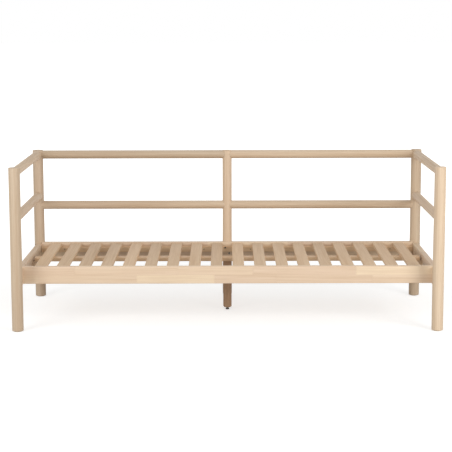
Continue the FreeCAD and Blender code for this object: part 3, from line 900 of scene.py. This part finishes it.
def bolt_cutters(node, side):
    """Cutters for the sunk heads of a board's bolts on one side."""
    cutters = []
    for low, high in solids(node):
        if (low.x + high.x) * side > 0:
            head = (low + high) / 2
            head.x = max(abs(low.x), abs(high.x)) * side
            radius = (high.z - low.z) / 2 + HEAD_ROOM
            way = AXES["X"] * side
            start = head - way * HEAD_BORE_DEPTH
            cutters.append(cutting_rod(start, way, radius, HEAD_BORE_DEPTH + BORE_CLEARANCE))
    return cutters


class DAYBED_OT_corner_posts(bpy.types.Operator):
    """Builds the four round corner posts"""
    bl_idname = "daybed.corner_posts"
    bl_label = "Corner Posts"

    def execute(self, context):
        for end in ENDS:
            for side in SIDES:
                node = f"post_{end}_{side}"
                low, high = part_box(node)
                post = turned(f"corner_{node}", post_profile(low.z, high.z, (high.x - low.x) / 2),
                              middle(node), sizes().round_faces)
                if end == "back":
                    cut_away(post, bolt_cutters("back_rail_bolts", HALVES[side]))
                give_grain(post, node, POST_TONES_AND_SHADE[node])
                check_box(post, node)
                place_piece(post, "root", "post_wood", "post_wood", node)
        return {"FINISHED"}


class DAYBED_OT_centre_post(bpy.types.Operator):
    """Builds the back centre post, notched over the back rail and drilled for its foot"""
    bl_idname = "daybed.centre_post"
    bl_label = "Centre Post"

    def execute(self, context):
        node = "post_back_centre"
        low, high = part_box(node)
        rail_low, rail_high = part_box("back_rail")
        foot = Vector(((low.x + high.x) / 2, (low.y + high.y) / 2, low.z))
        post = turned("centre_post", post_profile(low.z, high.z, (high.x - low.x) / 2), foot,
                      sizes().round_faces)
        gap = sizes().fitting_gap
        notch = cutting_box(Vector((low.x - gap, low.y - gap, rail_low.z - gap)),
                            Vector((high.x + gap, rail_high.y + gap, rail_high.z + gap)))
        bore = cutting_rod(foot - AXES["Z"] * MM, AXES["Z"], extent("centre_post_foot_insert").x / 2,
                           extent("centre_post_foot_stud").z)
        cut_away(post, [notch, bore])
        give_grain(post, node, POST_TONES_AND_SHADE[node])
        check_box(post, node)
        place_piece(post, "root", "post_wood", "post_wood", node)
        return {"FINISHED"}


def post_radius(node):
    return extent(node).x / 2


class DAYBED_OT_round_rails(bpy.types.Operator):
    """Builds the round rails of the arms and the back, hollowed to the posts"""
    bl_idname = "daybed.round_rails"
    bl_label = "Round Rails"

    def execute(self, context):
        gap = sizes().fitting_gap
        corner = post_radius("post_front_left") + gap
        centre = post_radius("post_back_centre") + gap
        for side in SIDES:
            for level in ("top", "mid"):
                self.arm_rail(side, level, corner)
                self.back_rail(side, level, corner, centre)
        return {"FINISHED"}

    def arm_rail(self, side, level, corner):
        node = f"arm_{level}_rail_{side}"
        rail = fitted_bar(f"round_{node}", "Y", middle(node),
                          round_columns(extent(node).z / 2, sizes().round_faces),
                          round_post_end(middle(f"post_front_{side}").y, corner, 1),
                          round_post_end(middle(f"post_back_{side}").y, corner, -1))
        give_grain(rail, node, ARM_RAIL_TONE)
        check_box(rail, node)
        place_piece(rail, "root", "rail_wood", "arm_rail_wood", node)

    def back_rail(self, side, level, corner, centre):
        node = f"back_{level}_rail_{side}"
        low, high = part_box(node)
        outer = round_post_end(middle(f"post_back_{side}").x, corner, -HALVES[side])
        inner = round_post_end(0.0, centre, HALVES[side])
        start, end = (outer, inner) if side == "left" else (inner, outer)
        rail = fitted_bar(f"round_{node}", "X", (low + high) / 2,
                          round_columns((high.z - low.z) / 2, sizes().round_faces), start, end)
        give_grain(rail, node, BACK_RAIL_TONES_AND_SHADE[level, side])
        check_box(rail, node)
        place_piece(rail, "root", "rail_wood", "back_rail_wood", node)


class DAYBED_OT_side_boards(bpy.types.Operator):
    """Builds the side boards of the seat, hollowed to the posts and bored for the bolts"""
    bl_idname = "daybed.side_boards"
    bl_label = "Side Boards"

    def execute(self, context):
        corner = post_radius("post_front_left") + sizes().fitting_gap
        for side in SIDES:
            node = f"side_rail_{side}"
            low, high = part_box(node)
            columns = board_columns(high.x - low.x, high.z - low.z, sizes().board_rounding)
            board = fitted_bar(f"side_board_{side}", "Y", (low + high) / 2, columns,
                               round_post_end(middle(f"post_front_{side}").y, corner, 1),
                               round_post_end(middle(f"post_back_{side}").y, corner, -1))
            cut_away(board, bolt_cutters("front_rail_bolts", HALVES[side]))
            give_grain(board, node, SIDE_BOARD_TONE)
            check_box(board, node)
            place_piece(board, "root", "board_wood", "side_board_wood", node)
        return {"FINISHED"}


class DAYBED_OT_long_boards(bpy.types.Operator):
    """Builds the front and the back boards of the seat, with the bores of their barrel nuts"""
    bl_idname = "daybed.long_boards"
    bl_label = "Front and Back Boards"

    def execute(self, context):
        for end in ENDS:
            node = f"{end}_rail"
            low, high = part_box(node)
            columns = board_columns(high.y - low.y, high.z - low.z, sizes().board_rounding)
            board = fitted_bar(f"{end}_board", "X", (low + high) / 2, columns,
                               self.board_end(end, "left", low.x), self.board_end(end, "right", high.x))
            cut_away(board, self.nut_cutters(end, high.y))
            give_grain(board, node, LONG_BOARD_TONES_AND_SHADE[end])
            check_box(board, node)
            place_piece(board, "root", "board_wood", "long_board_wood", node)
        return {"FINISHED"}

    def board_end(self, end, side, square):
        """A square end at the front, and an end that passes round the post at the back."""
        if end == "front":
            return plain(square)
        post = f"post_back_{side}"
        offset = middle("back_rail").y - middle(post).y
        hollow = round_post_end(middle(post).x, post_radius(post) + sizes().fitting_gap,
                                -HALVES[side], offset)
        nearest = min if side == "right" else max
        return lambda across: nearest(square, hollow(across))

    def nut_cutters(self, end, rear_face):
        """Cross bores of the barrel nuts, open at the board's rear face."""
        cutters = []
        for low, high in solids("barrel_nuts"):
            if (low.y + high.y) * HALVES[end] > 0:
                bore = Vector(((low.x + high.x) / 2, low.y, (low.z + high.z) / 2))
                radius = (high.z - low.z) / 2 + NUT_ROOM
                cutters.append(cutting_rod(bore, AXES["Y"], radius, rear_face - low.y + MM))
        return cutters


class DAYBED_OT_slats(bpy.types.Operator):
    """Builds the row of slats that the mattress rests on"""
    bl_idname = "daybed.slats"
    bl_label = "Slats"

    def execute(self, context):
        nodes = slat_nodes()
        low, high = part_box(nodes[0])
        first = Vector(((low.x + high.x) / 2, low.y, (low.z + high.z) / 2))
        step = (middle(nodes[-1]) - middle(nodes[0])) / (len(nodes) - 1)
        slats = points_piece("seat_slats", [first], [AXES["Z"]])
        grown(slats, slat_tree(), {
            "Count": sizes().slat_count, "First": first, "Step": step, "Width": sizes().slat_width,
            "Thickness": sizes().slat_thickness, "Length": high.y - low.y,
            "Rounding": sizes().slat_rounding, "Seed": 7, "Finish": material("slat_wood")})
        slats.data.shade_smooth()
        slats.data.set_sharp_from_angle(angle=SMOOTH_ANGLE)
        check_box(slats, *nodes)
        place_piece(slats, "root", "slat_wood", "slat_wood", *nodes)
        return {"FINISHED"}


class DAYBED_OT_battens(bpy.types.Operator):
    """Builds the battens and the centre beam, and finishes the beam's seats and the slats' pins"""
    bl_idname = "daybed.battens"
    bl_label = "Battens and Beam"

    def execute(self, context):
        for node, tone in BAR_TONES_AND_LIGHT.items():
            low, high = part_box(node)
            columns = board_columns(high.y - low.y, high.z - low.z, sizes().batten_rounding)
            bar = fitted_bar(f"{node}_bar", "X", (low + high) / 2, columns, plain(low.x), plain(high.x))
            if node == "slat_cleat_back":
                cut_away(bar, self.bolt_way(low, high))
            give_grain(bar, node, tone)
            check_box(bar, node)
            place_piece(bar, "root", "batten_wood", "batten_wood", node)
        for side in SIDES:
            dress_node(f"beam_seat_{side}", "seat_block_wood")
        dress_node("slat_pins", "pin_wood")
        return {"FINISHED"}

    def bolt_way(self, low, high):
        """Clearance in the back batten for the centre post's upper bolt."""
        cutters = []
        for bolt_low, bolt_high in solids("centre_post_bolts"):
            centre = (bolt_low + bolt_high) / 2
            if low.z < centre.z < high.z:
                start = Vector((centre.x, low.y - MM, centre.z))
                radius = (bolt_high.z - bolt_low.z) / 2 + HEAD_ROOM
                cutters.append(cutting_rod(start, AXES["Y"], radius, high.y - low.y + 2 * MM))
        return cutters


class DAYBED_OT_centre_leg(bpy.types.Operator):
    """Builds the round leg under the middle of the beam"""
    bl_idname = "daybed.centre_leg"
    bl_label = "Centre Leg"

    def execute(self, context):
        node = "centre_leg"
        low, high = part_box(node)
        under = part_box("centre_beam")[0].z
        radius = (high.x - low.x) / 2
        chamfer = sizes().leg_chamfer
        profile = [(radius - chamfer, low.z), (radius, low.z + chamfer), (radius, under),
                   (LEG_TENON_RADIUS, under), (LEG_TENON_RADIUS, high.z)]
        foot = Vector(((low.x + high.x) / 2, (low.y + high.y) / 2, low.z))
        leg = turned("round_centre_leg", profile, foot, sizes().round_faces)
        bore = cutting_rod(foot - AXES["Z"] * MM, AXES["Z"], extent("centre_leg_foot_insert").x / 2,
                           extent("centre_leg_foot_stud").z)
        cut_away(leg, [bore])
        # the leg's darkening is painted shade under the seat
        give_grain(leg, node, LEG_SHADE)
        check_box(leg, node)
        place_piece(leg, "root", "post_wood", "leg_wood", node)
        return {"FINISHED"}


class DAYBED_OT_levelling_feet(bpy.types.Operator):
    """Builds the two levelling feet: a pad and a threaded stud with a collar for a spanner"""
    bl_idname = "daybed.levelling_feet"
    bl_label = "Levelling Feet"

    def execute(self, context):
        for key in ("leg", "post"):
            self.pad(f"centre_{key}_foot_pad", f"{key}_foot_pad")
            self.stud(f"centre_{key}_foot_stud", f"{key}_foot_stud")
            dress_node(f"centre_{key}_foot_insert", "zinc_steel")
        return {"FINISHED"}

    def pad(self, node, body):
        """Pad that narrows upwards, with an open socket for the stud."""
        low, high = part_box(node)
        base = (high.x - low.x) / 2
        top = base * PAD_TOP_SHARE
        eased = 0.6 * MM
        profile = [(base - eased, low.z), (base, low.z + eased), (base, low.z + PAD_RIM),
                   (top, high.z - eased), (top - eased, high.z)]
        foot = middle(node)
        pad = turned(f"{node}_moulded", profile, foot, 48)
        floor = Vector((foot.x, foot.y, low.z + SOCKET_FLOOR))
        socket = cutting_rod(floor, AXES["Z"], STUD_RADIUS + STUD_PLAY, high.z - low.z)
        cut_away(pad, [socket])
        check_box(pad, node)
        place_piece(pad, body, "foot_plastic", "foot_plastic", node)

    def stud(self, node, body):
        """Threaded stud with its hexagonal collar."""
        low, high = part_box(node)
        foot = middle(node)
        rod = threaded_rod("rod", foot, low.z, high.z, STUD_RADIUS, sizes().thread_pitch,
                           sizes().thread_depth)
        corner = (high.x - low.x) / 2
        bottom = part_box(node.replace("stud", "pad"))[1].z + COLLAR_PLAY
        eased = 0.4 * MM
        top = bottom + COLLAR_HEIGHT
        profile = [(corner - eased, bottom), (corner, bottom + eased), (corner, top - eased),
                   (corner - eased, top)]
        collar = turned("collar", profile, foot, 6)
        stud = joined(f"{node}_threaded", [rod, collar])
        check_box(stud, node)
        place_piece(stud, body, "zinc_steel", "zinc_steel", node)


class DAYBED_OT_fittings(bpy.types.Operator):
    """Builds the bolts, the barrel nuts and the screws, and finishes the centre post's inserts"""
    bl_idname = "daybed.fittings"
    bl_label = "Fittings"

    def execute(self, context):
        socket = sizes().bolt_socket
        for seed, node in enumerate(("front_rail_bolts", "back_rail_bolts")):
            low, high = solids(node)[0]
            shape = bolt_shape(high.x - low.x, (high.z - low.z) / 2, BOLT_RADIUS, BOLT_HEAD_HEIGHT, socket)
            fit(node, shape, lambda centre: (math.copysign(1, centre.x), 0, 0), 10 + seed)
        low, high = solids("centre_post_bolts")[0]
        shape = bolt_shape(high.y - low.y, (high.z - low.z) / 2, BOLT_RADIUS, BOLT_HEAD_HEIGHT, socket)
        fit("centre_post_bolts", shape, lambda centre: (0, -1, 0), 12)
        low, high = solids("barrel_nuts")[0]
        fit("barrel_nuts", barrel_shape(high.y - low.y, (high.z - low.z) / 2), lambda centre: (0, 1, 0), 13)
        low, high = solids("cleat_screws")[0]
        fit("cleat_screws", screw_shape(high.y - low.y, (high.z - low.z) / 2),
            lambda centre: (0, -math.copysign(1, centre.y), 0), 14)
        low, high = solids("beam_screws")[0]
        length = max(high - low)
        fit("beam_screws", screw_shape(length, min(high - low) / 2), self.beam_screw_aim, 15)
        dress_node("centre_post_inserts", "zinc_steel")
        return {"FINISHED"}

    def beam_screw_aim(self, centre):
        """Screws down through the beam face up, and those through its seats face inwards."""
        upright = centre.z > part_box("beam_seat_left")[1].z - BEAM_SCREW_DEPTH
        return (0, 0, 1) if upright else (-math.copysign(1, centre.x), 0, 0)


class DAYBED_OT_glides(bpy.types.Operator):
    """Finishes the glides under the corner posts"""
    bl_idname = "daybed.glides"
    bl_label = "Glides"

    def execute(self, context):
        for end in ENDS:
            for side in SIDES:
                dress_node(f"glide_{end}_{side}", "glide_nylon")
        return {"FINISHED"}


FLOOR_NEAR = 1.4                    # from here the floor brightens, to meet the white surroundings
FLOOR_FAR = 3.5
FLOOR_GLOW = 0.62                   # the floor's own light near the bed
FLOOR_REACH = 60.0
LAMP_PLACES = {"right": (3.2, -3.6, 1.9), "left": (-3.2, -3.6, 1.9)}
LAMP_AIM = (0.0, 0.0, 0.45)
LAMP_SIZE = 2.2
CAMERA_ACROSS = -6.7 * MM
SENSOR_WIDTH = 36.0                 # in millimetres, as the camera takes it


def floor_material():
    """Pale floor that shows white to the camera and still keeps a soft shadow."""
    shader = Shader("pale_floor")
    coordinates = shader.node("ShaderNodeTexCoord").outputs["Object"]
    base = linear(colours().floor)
    speckle = shader.noise(coordinates, 3.0, 4.0)
    shade = tuple(channel * 0.97 for channel in base[:3]) + (1.0,)
    colour = shader.mix(speckle, base, shade)
    plain_floor = shader.node("ShaderNodeBsdfDiffuse", {"Color": colour}).outputs[0]
    away = shader.node("ShaderNodeVectorMath", {0: coordinates}, operation="LENGTH").outputs["Value"]
    strength = shader.steps(away, FLOOR_NEAR, FLOOR_FAR, FLOOR_GLOW, 1.0)
    white = (1.0, 1.0, 1.0, 1.0)
    glow = shader.node("ShaderNodeEmission", {"Color": white, "Strength": strength}).outputs[0]
    both = shader.node("ShaderNodeAddShader", {0: plain_floor, 1: glow}).outputs[0]
    rays = shader.node("ShaderNodeLightPath").outputs
    seen = shader.maths("MAXIMUM", rays["Is Camera Ray"], rays["Is Glossy Ray"])
    seen = shader.maths("MAXIMUM", seen, rays["Is Transmission Ray"])
    mixed = shader.node("ShaderNodeMixShader", {0: seen, 1: plain_floor, 2: both}).outputs[0]
    shader.links.new(mixed, shader.output.inputs["Surface"])
    return shader.material


def surroundings():
    """Even pale light from all round, which the camera sees as white."""
    world = bpy.data.worlds.new("surroundings")
    world.use_nodes = True
    nodes = world.node_tree.nodes
    links = world.node_tree.links
    nodes.clear()
    rays = nodes.new("ShaderNodeLightPath").outputs
    first = nodes.new("ShaderNodeMath")
    first.operation = "MAXIMUM"
    second = nodes.new("ShaderNodeMath")
    second.operation = "MAXIMUM"
    links.new(rays["Is Camera Ray"], first.inputs[0])
    links.new(rays["Is Transmission Ray"], first.inputs[1])
    links.new(first.outputs[0], second.inputs[0])
    links.new(rays["Is Glossy Ray"], second.inputs[1])
    light = nodes.new("ShaderNodeBackground")
    light.inputs["Strength"].default_value = stage_settings().surround
    white = nodes.new("ShaderNodeBackground")
    white.inputs["Strength"].default_value = 1.0
    for background in (light, white):
        background.inputs["Color"].default_value = (1.0, 1.0, 1.0, 1.0)
    mixed = nodes.new("ShaderNodeMixShader")
    output = nodes.new("ShaderNodeOutputWorld")
    links.new(second.outputs[0], mixed.inputs[0])
    links.new(light.outputs[0], mixed.inputs[1])
    links.new(white.outputs[0], mixed.inputs[2])
    links.new(mixed.outputs[0], output.inputs["Surface"])
    bpy.context.scene.world = world


def soft_lamp(name, place, aim, size, power):
    """Large square lamp at a place, facing a point."""
    data = bpy.data.lights.new(name, "AREA")
    data.shape = "SQUARE"
    data.size = size
    data.energy = power
    lamp = bpy.data.objects.new(name, data)
    lamp.location = place
    lamp.rotation_mode = "QUATERNION"
    lamp.rotation_quaternion = (Vector(aim) - Vector(place)).to_track_quat("-Z", "Y")
    bpy.context.scene.collection.objects.link(lamp)


def camera():
    """Camera before the bed's middle, looking slightly down on it."""
    settings = stage_settings()
    data = bpy.data.cameras.new("camera")
    data.sensor_width = SENSOR_WIDTH
    data.lens = settings.lens / MM
    data.clip_end = 100.0
    seen = bpy.data.objects.new("camera", data)
    tilt = Euler((math.pi / 2 - settings.pitch, 0.0, 0.0)).to_matrix()
    roll = Matrix.Rotation(-settings.roll, 3, "Z")
    place = Matrix.Translation((CAMERA_ACROSS, -settings.distance, settings.height))
    seen.matrix_world = place @ (tilt @ roll).to_4x4()
    bpy.context.scene.collection.objects.link(seen)
    bpy.context.scene.camera = seen


class DAYBED_OT_stage(bpy.types.Operator):
    """Builds the floor, the lamps, the surroundings and the camera"""
    bl_idname = "daybed.stage"
    bl_label = "Stage"

    def execute(self, context):
        corners = [(x * FLOOR_REACH, y * FLOOR_REACH, 0) for x, y in ((-1, -1), (1, -1), (1, 1), (-1, 1))]
        floor = mesh_piece("floor", corners, [(0, 1, 2, 3)])
        floor.data.materials.append(floor_material())
        surroundings()
        powers = {"right": stage_settings().key_power, "left": stage_settings().fill_power}
        for side, power in powers.items():
            soft_lamp(f"{side}_lamp", LAMP_PLACES[side], LAMP_AIM, LAMP_SIZE, power)
        camera()
        bpy.context.scene.view_settings.view_transform = "Standard"
        return {"FINISHED"}


# ---------------------------------------------------------------- panel and registration


OPERATORS = (
    DAYBED_OT_corner_posts,
    DAYBED_OT_centre_post,
    DAYBED_OT_round_rails,
    DAYBED_OT_side_boards,
    DAYBED_OT_long_boards,
    DAYBED_OT_slats,
    DAYBED_OT_battens,
    DAYBED_OT_centre_leg,
    DAYBED_OT_levelling_feet,
    DAYBED_OT_fittings,
    DAYBED_OT_glides,
    DAYBED_OT_stage,
)


class DAYBED_PT_panel(bpy.types.Panel):
    """Lists the daybed's sizes, colours and pieces"""
    bl_idname = "DAYBED_PT_panel"
    bl_label = "Wooden Daybed"
    bl_space_type = "VIEW_3D"
    bl_region_type = "UI"
    bl_category = "Daybed"

    def draw(self, context):
        for group in (sizes(), colours(), stage_settings()):
            column = self.layout.column(align=True)
            for name in group.bl_rna.properties.keys():
                if name not in ("rna_type", "name"):
                    column.prop(group, name)
        pieces = self.layout.column(align=True)
        for operator in OPERATORS:
            pieces.operator(operator.bl_idname)


CLASSES = (DaybedSizes, DaybedColours, DaybedStage, *OPERATORS, DAYBED_PT_panel)


def register():
    for cls in CLASSES:
        bpy.utils.register_class(cls)
    bpy.types.Scene.daybed_sizes = PointerProperty(type=DaybedSizes)
    bpy.types.Scene.daybed_colours = PointerProperty(type=DaybedColours)
    bpy.types.Scene.daybed_stage = PointerProperty(type=DaybedStage)


def unregister():
    del bpy.types.Scene.daybed_stage
    del bpy.types.Scene.daybed_colours
    del bpy.types.Scene.daybed_sizes
    for cls in reversed(CLASSES):
        bpy.utils.unregister_class(cls)


def main():
    register()
    for operator in OPERATORS:
        group, name = operator.bl_idname.split(".")
        getattr(getattr(bpy.ops, group), name)()


if __name__ == "__main__":
    main()
